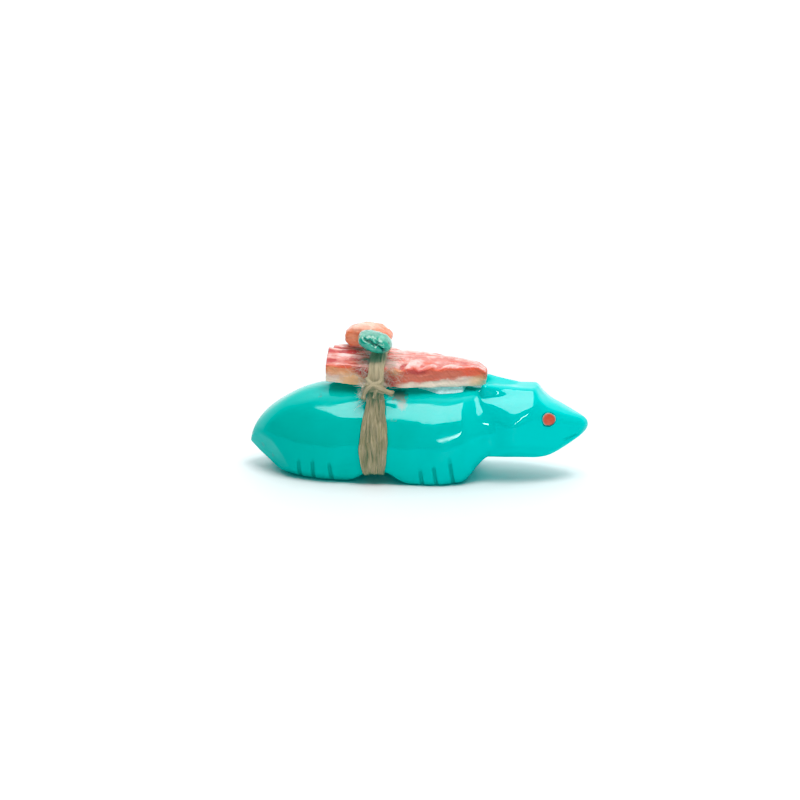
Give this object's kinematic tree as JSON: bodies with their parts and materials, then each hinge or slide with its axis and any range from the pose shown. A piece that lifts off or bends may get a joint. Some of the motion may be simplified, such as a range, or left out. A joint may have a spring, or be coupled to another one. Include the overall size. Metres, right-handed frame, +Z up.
{
  "type": "carved stone animal figurine",
  "caption": "Small polished turquoise carving of a crouching animal with inlaid eyes, grooved feet and a bundle of shell, coral and a nugget tied on its back with sinew.",
  "frame": {"origin": "on the floor plane of the feet, under the middle of the carving's tail-to-nose length and of its width", "axes": "+X toward the nose, +Y to the animal's left, +Z up"},
  "size_m": [0.0579, 0.0192, 0.0254],
  "materials": {
    "turquoise": "high polish",
    "eye_inlay": "polished",
    "shell": "waxy, partly ground",
    "coral": "waxy tumbled",
    "nugget": "tumbled, with dark matrix",
    "sinew": "waxed fibre",
    "clear_glue": "clear set glue"
  },
  "bodies": {
    "root": {"animal_body": "turquoise", "eye_left": "eye_inlay", "eye_right": "eye_inlay", "shell_slab": "shell", "coral_chip": "coral", "turquoise_nugget": "nugget", "sinew_tie": "sinew", "glue_pad": "clear_glue"}
  },
  "joints": []
}
